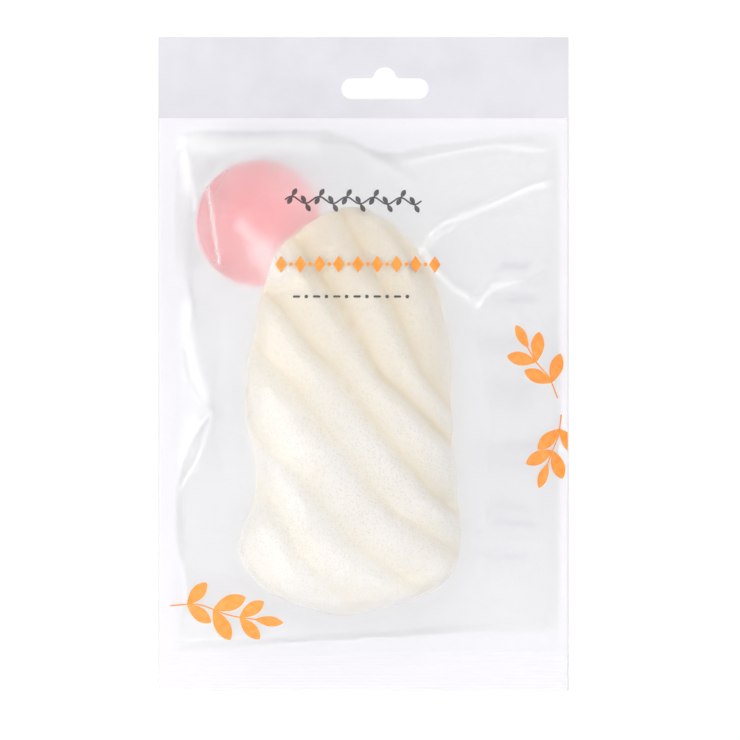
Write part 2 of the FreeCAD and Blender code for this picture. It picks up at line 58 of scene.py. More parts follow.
print(len(nodes), "solids:", ", ".join(sorted(nodes)))


def deselect():
    """Leaves nothing selected and nothing in edit mode."""
    if bpy.context.object and bpy.context.object.mode != "OBJECT":
        bpy.ops.object.mode_set(mode="OBJECT")
    bpy.ops.object.select_all(action="DESELECT")


def grab(piece):
    """Selects one piece alone and makes it active."""
    deselect()
    piece.select_set(True)
    bpy.context.view_layer.objects.active = piece


def settle(piece):
    """Puts a piece's place, turn and size into its mesh."""
    grab(piece)
    bpy.ops.object.transform_apply(location=True, rotation=True, scale=True)


def points_of(piece):
    """The piece's points as rows of x, y, z."""
    rows = np.empty(len(piece.data.vertices) * 3)
    piece.data.vertices.foreach_get("co", rows)
    return rows.reshape(-1, 3)


def move_points(piece, rows):
    """Writes the points back."""
    piece.data.vertices.foreach_set("co", np.ascontiguousarray(rows, dtype=np.float32).ravel())
    piece.data.update()


def mark_points(piece, name, values):
    """Stores one number for each point, for a material to read."""
    layer = piece.data.attributes.new(name, "FLOAT", "POINT")
    layer.data.foreach_set("value", np.asarray(values, dtype=np.float32))


# %% [markdown]
# The photograph is taken from straight above, from far away, so the pack's edges stay parallel. A
# long lens does that, and keeps the little depth that a parallel view would lose. The pack's 150 mm
# fill 410 of the picture's 740 pixels, which gives the field. The camera stands a little off the
# pack's middle, as in the photograph.
# %% Camera
PICTURE, PACK, PACK_WIDTH = 740, 410, 150
FIELD = PICTURE * PACK_WIDTH / PACK * MM
LENS, SENSOR = 200, 36
camera_data = bpy.data.cameras.new("overhead")
camera_data.lens = LENS
camera_data.sensor_width = SENSOR
camera = bpy.data.objects.new("overhead", camera_data)
bpy.context.scene.collection.objects.link(camera)
camera.location = (2.4 * MM, -2.2 * MM, FIELD * LENS / SENSOR)
bpy.context.scene.camera = camera
print("camera height", round(camera.location.z, 3))

# %% [markdown]
# Materials come first, each named for what the real one is. Colours are written as a screen shows
# them, and one function turns them into the linear values that light uses. Another adds a node, so
# that each material reads as a list of what it is made of.
# %% Material helpers


def linear(code):
    """A screen colour such as #FFE0B0 as linear red, green, blue and full alpha."""
    parts = [int(code[i : i + 2], 16) / 255 for i in (1, 3, 5)]
    return [p / 12.92 if p <= 0.04045 else ((p + 0.055) / 1.055) ** 2.4 for p in parts] + [1.0]


def add(tree, kind, inputs=None, **settings):
    """Adds a node with its settings, and sets or links its inputs."""
    made = tree.nodes.new(kind)
    for key, value in settings.items():
        setattr(made, key, value)
    for socket, value in (inputs or {}).items():
        if isinstance(value, bpy.types.NodeSocket):
            tree.links.new(value, made.inputs[socket])
        else:
            made.inputs[socket].default_value = value
    return made


def new_material(name):
    """An empty material, its node tree and its output."""
    material = bpy.data.materials.new(name)
    material.use_nodes = True
    material.node_tree.nodes.clear()
    return material, material.node_tree, material.node_tree.nodes.new("ShaderNodeOutputMaterial")


def dress(piece, material):
    """Gives a piece one material."""
    piece.data.materials.clear()
    piece.data.materials.append(material)


print("#FFE0B0 in light", [round(value, 3) for value in linear("#FFE0B0")])

# %% [markdown]
# Konjac is a root starch, frozen and dried into a fine open foam, which is matt and lets some light
# in. The ramp paints the channels darker and yellower than the ridges, as painted shade and painted
# bounced light. Towards its head the sponge turns a little yellower. A ramp could follow the
# shading, but it would change with the lamps. So the mesh carries how high each point stands
# between channel and ridge, and the ramp reads that.
# %% Tones and painted channel shade of the konjac foam
konjac, tree, out = new_material("konjac_starch_foam")
place = add(tree, "ShaderNodeTexCoord").outputs["Object"]
height = add(tree, "ShaderNodeAttribute", attribute_name="ridge").outputs["Fac"]
tone = add(tree, "ShaderNodeValToRGB", {"Fac": height})
stops = tone.color_ramp.elements
# The channel end of the ramp is painted shade and bounced light, darker and yellower than the crests.
stops[0].color, stops[1].color = linear("#F0E6CB"), linear("#FFFDFB")
stops.new(0.45).color = linear("#FDF8EE")
stops.new(0.80).color = linear("#FFFCF8")
heights = add(tree, "ShaderNodeSeparateXYZ", {"Vector": place})
upper = add(tree, "ShaderNodeMapRange", {"Value": heights.outputs["Y"], "From Min": -30 * MM, "From Max": 38 * MM})
upper_tints = {"Factor": upper.outputs["Result"], "A": linear("#FFFFFF"), "B": linear("#FCF4E7")}
upper_tint = add(tree, "ShaderNodeMix", upper_tints, data_type="RGBA")
both = {"Factor": 1.0, "A": tone.outputs["Color"], "B": upper_tint.outputs["Result"]}
toned = add(tree, "ShaderNodeMix", both, data_type="RGBA", blend_type="MULTIPLY")
cloud = add(tree, "ShaderNodeTexNoise", {"Vector": place, "Scale": 1 / (14 * MM), "Detail": 3.0})
clouded = {"Factor": cloud.outputs["Fac"], "A": toned.outputs["Result"], "B": linear("#FFF7EC")}
warm = add(tree, "ShaderNodeMix", clouded, data_type="RGBA", blend_type="MULTIPLY")
print("tones", len(tree.nodes), "nodes")

# %% [markdown]
# The foam is full of pores: the middle of each cell of a Voronoi pattern is a pit, a little sunk
# and darkened by painted shade. Real pores are about half a millimetre apart, under two pixels
# here, so they are drawn twice as coarse, or they wouldn't show. Light goes a little way into the
# foam, which softens the channels, and the dry fibre has a faint sheen.
# %% Pores and body of the konjac foam
PORE = 1.0
pores = add(tree, "ShaderNodeTexVoronoi", {"Vector": place, "Scale": 1 / (PORE * MM), "Randomness": 1.0})
specks = add(tree, "ShaderNodeMapRange", {"Value": pores.outputs["Distance"], "From Min": 0.05, "From Max": 0.40})
# The darker colour of the pits is painted shade.
pore_shade_colours = {"Factor": specks.outputs["Result"], "A": linear("#EFE4CC"), "B": warm.outputs["Result"]}
pore_shaded = add(tree, "ShaderNodeMix", pore_shade_colours, data_type="RGBA")
bump = add(tree, "ShaderNodeBump", {"Strength": 0.5, "Distance": 0.2 * MM, "Height": specks.outputs["Result"]})
foam = add(tree, "ShaderNodeBsdfPrincipled", {
    "Base Color": pore_shaded.outputs["Result"],
    "Roughness": 0.92,
    "Specular IOR Level": 0.2,
    "Subsurface Weight": 0.35,
    "Subsurface Scale": 1.6 * MM,
    "Subsurface Radius": (1.0, 0.92, 0.82),
    "Sheen Weight": 0.25,
    "Sheen Roughness": 0.6,
    "Normal": bump.outputs["Normal"],
})
tree.links.new(foam.outputs["BSDF"], out.inputs["Surface"])
print(konjac.name, "pores", PORE, "mm")

# %% [markdown]
# The pouch is matt polyethylene film, which scatters light: what touches it looks sharp, and what
# lies further behind turns soft. A rough see-through shader gives that, and three numbers on the
# mesh steer it. Haze makes the welded seals milky. Fold makes white lines where bending has
# stressed the film, and also paints highlights and sheen on bulges and slopes. Touch makes it
# clearer where it lies on the sponge, which keeps the pores in sight. A share of the light goes
# straight through, so that it still reaches what is inside.
# %% Matt polyethylene film
CLEARING = 0.50


def film_material(name, tint, weld_tint, cover, rough):
    """A matt film. Cover is the share of light that it doesn't let straight through."""
    material, tree, out = new_material(name)
    place = add(tree, "ShaderNodeTexCoord").outputs["Object"]
    marks = ("haze", "fold_white_and_sheen", "touch")
    haze, fold_white_and_sheen, touch = (add(tree, "ShaderNodeAttribute", attribute_name=mark).outputs["Fac"] for mark in marks)
    grain = add(tree, "ShaderNodeTexNoise", {"Vector": place, "Scale": 1 / (1.3 * MM), "Detail": 2.0})
    ripple = add(tree, "ShaderNodeTexNoise", {"Vector": place, "Scale": 1 / (9 * MM), "Detail": 1.0})
    both = add(tree, "ShaderNodeMath", {0: grain.outputs["Fac"], 1: ripple.outputs["Fac"]}, operation="ADD")
    bump = add(tree, "ShaderNodeBump", {"Strength": 0.15, "Distance": 0.35 * MM, "Height": both.outputs["Value"]})
    tints = {"Factor": haze, "A": linear(tint), "B": linear(weld_tint)}
    colour = add(tree, "ShaderNodeMix", tints, data_type="RGBA")
    # Fold whitens the colour: real whitening at folds, and painted highlights and sheen.
    whitened = {"Factor": fold_white_and_sheen, "A": colour.outputs["Result"], "B": linear("#FFFFFF")}
    folds_and_painted_sheen = add(tree, "ShaderNodeMix", whitened, data_type="RGBA")
    clear = add(tree, "ShaderNodeMapRange", {"Value": haze, "To Min": 0.90, "To Max": 0.42})
    clear = add(tree, "ShaderNodeMath", {0: clear.outputs["Result"], 1: fold_white_and_sheen}, operation="SUBTRACT", use_clamp=True)
    soft = add(tree, "ShaderNodeMapRange", {"Value": touch, "To Min": rough, "To Max": rough - CLEARING})
    skin = add(tree, "ShaderNodeBsdfPrincipled", {
        "Base Color": folds_and_painted_sheen.outputs["Result"],
        "Roughness": soft.outputs["Result"],
        "IOR": 1.25,
        "Transmission Weight": clear.outputs["Value"],
        "Coat Weight": 0.35,
        "Coat Roughness": 0.28,
        "Coat IOR": 1.5,
        "Alpha": cover,
        "Normal": bump.outputs["Normal"],
    })
    tree.links.new(skin.outputs["BSDF"], out.inputs["Surface"])
    return material


front_film = film_material("matt_polyethylene_front", "#FEFEFF", "#FDFCFF", 0.86, 0.66)
# The back web's tint is greyer than the front's: painted shade for the dim inside of the pouch.
back_film = film_material("matt_polyethylene_back", "#F4F4F6", "#FCFBFF", 0.8, 0.4)
print(front_film.name, "and", back_film.name)

# %% [markdown]
# The header is the same film, folded double and pressed: a milky lavender grey, with faint clouds
# where the plies don't quite meet. It could be two webs with air between, but one strip with a
# cloudy tone looks the same from outside, and its solid can stay as it is.
# %% Doubled film of the header
header_film, tree, out = new_material("doubled_polyethylene_header")
place = add(tree, "ShaderNodeTexCoord").outputs["Object"]
clouds = add(tree, "ShaderNodeTexNoise", {"Vector": place, "Scale": 1 / (22 * MM), "Detail": 4.0})
shade = add(tree, "ShaderNodeValToRGB", {"Fac": clouds.outputs["Fac"]})
stops = shade.color_ramp.elements
stops[0].position, stops[0].color = 0.35, linear("#D5D4DA")
stops[1].position, stops[1].color = 0.60, linear("#DBDAE0")
ply = add(tree, "ShaderNodeBump", {"Strength": 0.15, "Distance": 0.4 * MM, "Height": clouds.outputs["Fac"]})
strip = add(tree, "ShaderNodeBsdfPrincipled", {
    "Base Color": shade.outputs["Color"],
    "Roughness": 0.38,
    "Coat Weight": 0.3,
    "Coat Roughness": 0.25,
    "Alpha": 0.9,
    "Normal": ply.outputs["Normal"],
})
tree.links.new(strip.outputs["BSDF"], out.inputs["Surface"])
dress(nodes["header_strip"], header_film)
print(header_film.name)

# %% [markdown]
# The suction cup is soft PVC, moulded in a milky pink that lets light in. Its wall thins towards the
# rim. The ramp makes the rim and a faint streak lighter than the middle, as painted light: the glow
# of the thin wall and a highlight. The mesh carries how far out each point lies.
# %% Soft pink PVC
soft_pvc, tree, out = new_material("soft_pink_pvc")
place = add(tree, "ShaderNodeTexCoord").outputs["Object"]
streak = add(tree, "ShaderNodeTexNoise", {"Vector": place, "Scale": 1 / (16 * MM), "Detail": 2.0})
rim = add(tree, "ShaderNodeAttribute", attribute_name="rim").outputs["Fac"]
# The rim and the streak are made lighter: painted light, the thin wall's glow and a highlight.
painted_rim_light = add(tree, "ShaderNodeMath", {0: streak.outputs["Fac"], 1: rim}, operation="MULTIPLY")
pinks = add(tree, "ShaderNodeValToRGB", {"Fac": painted_rim_light.outputs["Value"]})
stops = pinks.color_ramp.elements
stops[0].color = linear("#FC8A91")
stops[1].position, stops[1].color = 0.60, linear("#FFBABD")
cup_skin = add(tree, "ShaderNodeBsdfPrincipled", {
    "Base Color": pinks.outputs["Color"],
    "Roughness": 0.4,
    "Subsurface Weight": 0.3,
    "Subsurface Scale": 2.0 * MM,
    "Coat Weight": 0.2,
    "Coat Roughness": 0.3,
})
tree.links.new(cup_skin.outputs["BSDF"], out.inputs["Surface"])
print(soft_pvc.name)

# %% [markdown]
# The hook is clear polystyrene, hard and glossy, which bends light more than most plastics. A faint
# bump stands for the flow lines of the mould. Its solid is as plain as the real one and stays.
# %% Clear polystyrene
clear_plastic, tree, out = new_material("clear_polystyrene")
place = add(tree, "ShaderNodeTexCoord").outputs["Object"]
flow = add(tree, "ShaderNodeTexNoise", {"Vector": place, "Scale": 1 / (3 * MM), "Detail": 1.0})
flow_bump = add(tree, "ShaderNodeBump", {"Strength": 0.1, "Distance": 0.1 * MM, "Height": flow.outputs["Fac"]})
hook_skin = add(tree, "ShaderNodeBsdfPrincipled", {
    "Base Color": linear("#EEF1F4"),
    "Roughness": 0.08,
    "IOR": 1.58,
    "Transmission Weight": 0.8,
    "Normal": flow_bump.outputs["Normal"],
})
tree.links.new(hook_skin.outputs["BSDF"], out.inputs["Surface"])
dress(nodes["cup_hook"], clear_plastic)
print(clear_plastic.name)

# %% [markdown]
# Printing ink is a thin satin layer that lets a little of the ground through. It could be painted
# into the film's colour, but then its edges would be as coarse as the film's grid. So each ink is a
# material for thin marks of their own: a flat colour with the fine mottle of the press.
# %% Printing inks


def ink_material(name, code, worn, cover):
    """A printing ink, with a paler mottle."""
    material, tree, out = new_material(name)
    place = add(tree, "ShaderNodeTexCoord").outputs["Object"]
    mottle = add(tree, "ShaderNodeTexNoise", {"Vector": place, "Scale": 1 / (2.5 * MM), "Detail": 2.0})
    ramp = add(tree, "ShaderNodeValToRGB", {"Fac": mottle.outputs["Fac"]})
    stops = ramp.color_ramp.elements
    stops[0].position, stops[0].color = 0.40, linear(code)
    stops[1].position, stops[1].color = 0.80, linear(worn)
    satin = {"Base Color": ramp.outputs["Color"], "Roughness": 0.45, "Alpha": cover}
    skin = add(tree, "ShaderNodeBsdfPrincipled", satin)
    tree.links.new(skin.outputs["BSDF"], out.inputs["Surface"])
    return material


orange_ink = ink_material("orange_printing_ink", "#F68F22", "#F9A446", 0.95)
grey_ink = ink_material("dark_grey_printing_ink", "#3E3C3F", "#58565A", 0.93)
faint_ink = ink_material("back_printing_ink", "#8482AC", "#9896BC", 0.5)
print(orange_ink.name, grey_ink.name, faint_ink.name)

# %% [markdown]
# The sponge is a moulded foam pillow with twisted ridges. It could be sculpted by hand, but then its
# outline would only be as true as the eye. Here the outline is a table of stations, measured off
# the photograph: at each Y, in millimetres, the left and the right edge, the height of the crown,
# and that of the underside at its left and its right. The head rides up over the cup.
# %% Outline of the sponge
EDGE_LEFT = (
    (-91, -14), (-88.9, -23.2), (-85.6, -30.5), (-82, -37.1), (-77.2, -41.5), (-71.7, -45.2),
    (-66.2, -46), (-58.9, -44.5), (-51.6, -40.9), (-42.4, -39.2), (-35.1, -39.4), (-27.8, -41.5),
    (-20.5, -43.4), (-9.5, -43.6), (3.3, -41.9), (10.6, -40), (19.8, -39), (27.1, -37.1),
    (32.6, -34.6), (39.9, -32.6), (45.4, -28.7), (51, -22), (55.6, -14),
)
EDGE_RIGHT = (
    (-91, 1), (-88.9, 9.7), (-85.2, 20.7), (-80.9, 28), (-75.4, 33.3), (-69.9, 35.8),
    (-60.7, 36.5), (-49.8, 35.3), (-38.8, 34.6), (-24.1, 33.5), (-13.2, 32.8), (5.1, 32.2),
    (16.1, 30.5), (27.1, 28), (32.6, 26), (43.5, 18.8), (50.9, 12.8), (55.2, 6),
)
UNDERSIDE = (
    (-91, 7, 7), (-86, 3.2, 3.2), (-77, 1.3, 1.3), (-64, 0.7, 0.7), (-28, 0.7, 0.7), (0, 4.4, 0.8),
    (18.5, 9.6, 0.9), (30, 12.6, 1.8), (39, 14.8, 2.8), (49.6, 16.6, 7.4), (56.5, 17.2, 14),
)
CROWN = (
    (-91, 16), (-85.7, 23.6), (-77, 30.2), (-64, 33.2), (-30, 33.4), (18.5, 33.2), (39, 31.6),
    (49.6, 28.4), (56.5, 24),
)
FOOT_Y, HEAD_Y = -91.1, 56.9


def along(table, y, column=1):
    """Reads a table of stations at any y, smoothed a little."""
    ys = [row[0] for row in table]
    values = [row[column] for row in table]
    spread = np.array([-2.4, -1.2, 0.0, 1.2, 2.4])
    return np.mean([np.interp(y + step, ys, values) for step in spread], axis=0)


waist = float(along(EDGE_RIGHT, 0.0) - along(EDGE_LEFT, 0.0))
print("sponge", round(HEAD_Y - FOOT_Y, 1), "mm long,", round(waist, 1), "mm wide at Y 0")

# %% [markdown]
# The channels run down to the right and spread a little like a fan. Each is a depth and a line of
# places, in millimetres. Between two channels the foam rises slowly to a crest and drops quickly
# behind it, like the teeth of a soft saw. So each place is measured across the channels, and its
# share of the way from one to the next says how high it stands.
# %% Channels of the sponge
CHANNELS = (
    (1.6, ((3.1, 58.2), (13.4, 46.1), (23.6, 30), (33.5, 12.4))),
    (2.3, ((-8.6, 56.3), (-1.3, 41.7), (11.5, 19.8), (20.7, -2.2), (33.5, -18.7))),
    (3.4, ((-23.2, 43.5), (-8.6, 21.6), (-1.3, 8.8), (6, -4), (17, -13.2), (24.3, -20.5), (34.6, -30.4))),
    (2.2, (
        (-37.1, 27.1), (-28.7, 19.8), (-19.6, 7), (-8.6, -4),
        (0.5, -16.8), (9.7, -27.8), (24.3, -46.1), (33.5, -53.4),
    )),
    (1.8, (
        (-43.4, 10.6), (-36, 3.3), (-25.1, -7.7), (-14.1, -22.3),
        (-4.9, -33.3), (4.2, -46.1), (11.5, -53.4), (31.6, -66.2),
    )),
    (1.6, (
        (-45.2, -18.7), (-38.6, -26), (-23.2, -40.6), (-14.1, -51.6),
        (-4.9, -62.6), (17, -79), (24.3, -83.4),
    )),
    (1.3, ((-45.2, -38.8), (-36, -46.1), (-28.7, -55.2), (-23.2, -68), (-15.9, -75.4), (-8.6, -82.7))),
    (1, ((-46.6, -66.2), (-37.1, -77.2), (-26.9, -88.2))),
)
SLOPE = math.radians(50)
RUN = np.array([math.cos(SLOPE), -math.sin(SLOPE)])
ACROSS = np.array([math.sin(SLOPE), math.cos(SLOPE)])
OUTER_GAP = 22.0
CREST_PLACE = 0.66
FULL_DEPTH = 2.6


def channel_heights(x, y):
    """How far each place sinks below the crests, and how high it stands between channel and crest."""
    u = x * RUN[0] + y * RUN[1]
    w = x * ACROSS[0] + y * ACROSS[1]
    lines, depths = [], []
    for depth, line in CHANNELS:
        places = np.array(line)
        us, ws = places @ RUN, places @ ACROSS
        order = np.argsort(us)
        lines.append(np.interp(u, us[order], ws[order]))
        depths.append(depth)
    lines = np.sort(np.array(lines)[::-1], axis=0)
    depths = depths[::-1]
    lines = [lines[0] - OUTER_GAP, *lines, lines[-1] + OUTER_GAP]
    depths = [0.0, *depths, 0.0]
    sink = np.zeros_like(x)
    height = np.ones_like(x)
    for low, high, depth_low, depth_high in zip(lines, lines[1:], depths, depths[1:]):
        t = (w - low) / np.maximum(high - low, 1.0)
        here = (t >= 0) & (t < 1)
        rise = np.clip(t / CREST_PLACE, 0, 1)
        rise = 0.5 * rise + 0.5 * np.sin(rise * math.pi / 2)
        drop = 1 - np.clip((t - CREST_PLACE) / (1 - CREST_PLACE), 0, 1) ** 1.5
        level = np.where(t < CREST_PLACE, rise, drop)
        depth = depth_low * (1 - t) + depth_high * t
        sink = np.where(here, depth * (1 - level), sink)
        height = np.where(here, 1 - (1 - level) * np.clip(depth / FULL_DEPTH, 0.2, 1), height)
    return sink, height


print(len(CHANNELS), "channels, the deepest", max(depth for depth, line in CHANNELS), "mm")

# %% [markdown]
# Real foam is never even. Smooth lumps come from a few waves that cross. They need no random
# numbers, so the sponge is the same each time.
# %% Lumps of the sponge
WAVES = (
    (1, 0.35, 0.6, 0.3), (-0.45, 1, 0.5, 1.9), (0.7, -0.8, 0.9, 4.1), (0.2, 0.9, -1, 2.6),
    (-0.9, -0.3, 1.1, 5.2),
)


def lumps(x, y, z, wave):
    """Soft lumps between -1 and 1, about one wave apart, in millimetres."""
    total = np.zeros_like(x)
    for a, b, c, phase in WAVES:
        total += np.sin((a * x + b * y + c * z) * 2 * math.pi / wave + phase)
    return total / len(WAVES)


print(len(WAVES), "waves")

# %% [markdown]
# The sponge's mesh starts as a ball, turned so that its poles are the head and the foot. Each ring
# moves to its station and is stretched to the outline there. The section is squarer than an
# ellipse, as a pillow's is, and its widest line lies below the middle.
# %% Ball stretched to the outline
deselect()
bpy.ops.mesh.primitive_uv_sphere_add(segments=200, ring_count=240, radius=1)
sponge = bpy.context.object
sponge.name = "konjac_foam"
bpy.ops.transform.rotate(value=math.pi / 2, orient_axis="X", center_override=(0, 0, 0))
settle(sponge)
ball = points_of(sponge)
SQUARE_WIDE, SQUARE_TALL, BELT_SHARE = 0.67, 0.74, 0.40
turn = np.arctan2(ball[:, 2], ball[:, 0])
lean = np.clip(ball[:, 1], -1, 1)
share = 0.5 + np.arcsin(lean) / math.pi
reach = 0.5 - 0.5 * np.cos(share * math.pi)
y = FOOT_Y + (0.35 * share + 0.65 * reach) * (HEAD_Y - FOOT_Y)
close = np.sqrt(np.clip(1 - np.abs(2 * share - 1) ** 9, 0, 1))
left, right = along(EDGE_LEFT, y), along(EDGE_RIGHT, y)
crown = along(CROWN, y)
across, up = np.cos(turn), np.sin(turn)
wide = np.sign(across) * np.abs(across) ** SQUARE_WIDE
tall = np.sign(up) * np.abs(up) ** SQUARE_TALL
x = (left + right) / 2 + (right - left) / 2 * wide * close
low = along(UNDERSIDE, y, 1) * (0.5 - 0.5 * wide) + along(UNDERSIDE, y, 2) * (0.5 + 0.5 * wide)
belt = low + BELT_SHARE * (crown - low)
z = np.where(tall > 0, belt + (crown - belt) * tall * close, belt + (belt - low) * tall * close)
print("ball stretched,", len(ball), "points")

# %% [markdown]
# Now the top sinks near each channel. The channels notch the sides a little too, and fade out
# below. Three dimples follow, and lumps from swellings of 23 mm down to a grain of 3 mm. The mesh
# keeps how high each point stands, for the foam's tones and the painted shade of its channels.
# %% Ridges, dimples and lumps
DIMPLES = ((-29.8, -52.7, 4, 1.8), (10.8, -52.7, 2, 1.4), (12.6, -2.9, 2.2, 1.2))
sink, ridge = channel_heights(x, y)
topside = np.clip((z - belt) / (crown - belt), 0, 1)
fade = np.clip(topside * 2.2, 0, 1) * close
bend = 1 - 0.5 * (1 - topside)
z = z - sink * fade * bend
x = x + (np.where(x > (left + right) / 2, -1, 1) * sink * 0.35 * (1 - topside) * close)
for hole_x, hole_y, reach, depth in DIMPLES:
    near = np.exp(-((x - hole_x) ** 2 + (y - hole_y) ** 2) / reach**2)
    z -= depth * near * topside
z += fade * (0.45 * lumps(x, y, z, 23.0) + 0.22 * lumps(x, y, z, 7.0) + 0.12 * lumps(y, x, z, 2.9))
x += 0.35 * lumps(z, y, x, 15.0) * close
move_points(sponge, np.stack([x, y, z], axis=1) * MM)
mark_points(sponge, "ridge", np.clip(ridge * fade + (1 - fade) * 0.6, 0, 1))
dress(sponge, konjac)
bpy.ops.object.shade_smooth()
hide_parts("konjac_sponge")
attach(sponge, "sponge")
rows = points_of(sponge) / MM
print("sponge", len(rows), rows.min(axis=0).round(1), rows.max(axis=0).round(1))

# %% [markdown]
# The suction cup is a shallow dish of soft plastic, with a neck and a button below that keep the
# hook on. Its solid is a plain turned cone. A lathe's way suits it: a ring is drawn, step by step,
# over the hollow, round the rim's bead and back below to the button. Spin could do it too, but the
# ring keeps its count of points, and both ends close with a flat cap.
# %% Turned pieces


def turned_piece(name, rings, segments=96):
    """A closed turned piece: one ring drawn through radii and heights."""
    deselect()
    first_radius, first_height = rings[0]
    bpy.ops.mesh.primitive_circle_add(vertices=segments, radius=first_radius * MM, location=(0, 0, first_height * MM))
    piece = bpy.context.object
    piece.name = name
    bpy.ops.object.mode_set(mode="EDIT")
    bpy.ops.mesh.select_all(action="SELECT")
    bpy.ops.mesh.edge_face_add()
    bpy.ops.mesh.inset(thickness=first_radius * 0.5 * MM)
    bpy.ops.mesh.select_all(action="DESELECT")
    bpy.ops.object.mode_set(mode="OBJECT")
    inner = first_radius * 0.9 * MM
    for edge in piece.data.edges:
        edge.select = all(piece.data.vertices[v].co.xy.length > inner for v in edge.vertices)
    bpy.ops.object.mode_set(mode="EDIT")
    for (radius, height), (new_radius, new_height) in zip(rings, rings[1:]):
        bpy.ops.mesh.extrude_edges_move()
        ratio = new_radius / radius
        bpy.ops.transform.resize(value=(ratio, ratio, 1), center_override=(0, 0, 0))
        bpy.ops.transform.translate(value=(0, 0, (new_height - height) * MM))
    bpy.ops.mesh.edge_face_add()
    bpy.ops.mesh.inset(thickness=rings[-1][0] * 0.5 * MM)
    bpy.ops.mesh.select_all(action="SELECT")
    bpy.ops.mesh.normals_make_consistent(inside=False)
    bpy.ops.object.mode_set(mode="OBJECT")
    return piece


# %% [markdown]
# Each ring of the cup is a radius and a height, in millimetres from the rim's middle. The cup is
# 46 mm across and tilted by 10 degrees, because the sponge's shoulder presses on its right side.
# %% Suction cup
RIM_RADIUS = 22.9
TILT = math.radians(10)
CUP_CENTRE = Vector((-38.6, 50.9, 10.67)) * MM
HOLLOW = [(1, -3.6), (4, -3.55), (7, -3.3), (10.5, -2.75), (14, -1.95), (17.5, -1.1), (20.5, -0.4)]
BEAD = [(22, -0.08), (22.5, 0), (22.8, -0.1), (22.88, -0.3), (22.75, -0.55), (22.3, -0.7)]
OUTSIDE = [(20, -1.2), (15, -2.5), (10, -3.9), (7.5, -4.7), (6.2, -5.1), (6, -5.4), (6, -5.7), (5.9, -5.8)]
NECK = [(3.2, -5.8), (3, -5.9), (3, -8.1), (3.1, -8.2)]
BUTTON = [(4.2, -8.2), (4.4, -8.35), (4.4, -9.35), (4.2, -9.5), (1.5, -9.5)]
cup = turned_piece("cup_dish", HOLLOW + BEAD + OUTSIDE + NECK + BUTTON)
rows = points_of(cup) / MM
mark_points(cup, "rim", np.hypot(rows[:, 0], rows[:, 1]) / RIM_RADIUS)
cup.location = CUP_CENTRE
cup.rotation_euler = (0, TILT, 0)
settle(cup)
dress(cup, soft_pvc)
bpy.ops.object.shade_smooth()
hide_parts("suction_cup")
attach(cup, "suction_cup")
print("cup", len(cup.data.vertices), "points")

# %% [markdown]
# The front web of film is flat at its seals and stands up between them, held out by the sponge and
# a little air. A cloth simulation could find that shape, but film that is held all round settles as
# a membrane does, and a membrane can be worked out on a grid, the same each time. So first come
# the grid, in millimetres, and a way to look down on a piece from above.
# %% Grid of the film
GRID = 1.0
LEFT, RIGHT, BOTTOM, TOP = -75.0, 75.0, -119.5, 89.4
WELD_LEFT, WELD_RIGHT, SEAL_TOP, MOUTH = -69.0, 71.5, -104.7, 85.2
FILM_REST = 0.32
grid_x = np.arange(LEFT, RIGHT + GRID / 2, GRID)
grid_y = np.arange(BOTTOM, TOP + GRID, GRID)
plane_x, plane_y = np.meshgrid(grid_x, grid_y, indexing="ij")


def tree_of(piece):
    """A search tree of a piece's faces, which answers where a ray meets them."""
    return BVHTree.FromPolygons([v.co for v in piece.data.vertices], [p.vertices[:] for p in piece.data.polygons])


def top_at(tree, x, y):
    """Height of the highest face at a place, in millimetres."""
    hit = tree.ray_cast(Vector((x * MM, y * MM, 0.1)), Vector((0, 0, -1)))[0]
    return hit.z / MM if hit else -1.0


def top_over(piece, shifts):
    """The highest point of a piece over each grid place, wherever it slides to."""
    tree = tree_of(piece)
    rows = points_of(piece) / MM
    low, high = rows.min(axis=0) - 3, rows.max(axis=0) + 3
    field = np.full(plane_x.shape, -1.0)
    near = (plane_x > low[0]) & (plane_x < high[0]) & (plane_y > low[1]) & (plane_y < high[1])
    for i, j in np.argwhere(near):
        field[i, j] = max(top_at(tree, plane_x[i, j] - dx, plane_y[i, j] - dy) for dx, dy in shifts)
    return field


print("grid of", plane_x.shape, "places")

# %% [markdown]
# Sponge and cup slide a little in the pouch, and the film has to clear them wherever they reach.
# Each list gives shifts in X and Y, in millimetres. The floor under the film is the highest point
# that any of them brings, plus a small gap.
# %% What the film rests on
SPONGE_WAYS = ((0, -2), (0, -1), (0, 0), (0, 1.5), (-0.9, 0), (0.9, 0))
CUP_WAYS = ((0, -0.8), (0, 1.2), (0, 2.5), (0, 3.3), (-0.8, 0), (0.8, 0))
FILM_GAP = 0.5
floor_height = np.maximum(top_over(sponge, SPONGE_WAYS), top_over(cup, CUP_WAYS)) + FILM_GAP
floor_height = np.maximum(floor_height, FILM_REST)
print("highest place under the film", floor_height.max().round(2))

# %% [markdown]
# Beside the seals the webs lie together, up to three uneven lines that the photograph shows as
# folds: at the left, at the top and at the foot. There the front web is held down. Beside the cup
# it is free up to the weld, or it would cut into the cup's lifted rim.
# %% Where the webs lie together
LEFT_EDGE = (
    (-104.7, -68), (-92, -66.5), (-85, -64.5), (-76, -65), (-70, -67.5), (-58, -68.6), (-45, -68),
    (-33, -65), (-27, -61.5), (-18, -56), (-12, -60), (-5, -64), (5, -66.3), (13, -63.5),
    (22, -62.5), (33, -65), (47, -65.5), (61, -63), (73, -64), (84, -66.5),
)
TOP_EDGE = (
    (-69, 83.5), (-62, 84.8), (-40, 85), (-14, 85), (-5, 82), (7.5, 76.5), (14, 77),
    (28, 80), (43, 82), (57, 83.5), (71.5, 82),
)
FOOT_EDGE = ((-69, -104.7), (-45, -103.4), (-19.6, -101.4), (13.4, -99.8), (42.6, -97.8), (71.5, -97.6))
CUP_LOW, CUP_HIGH = 28, 78
left_edge = np.interp(plane_y, *np.array(LEFT_EDGE).T)
top_edge = np.interp(plane_x, *np.array(TOP_EDGE).T)
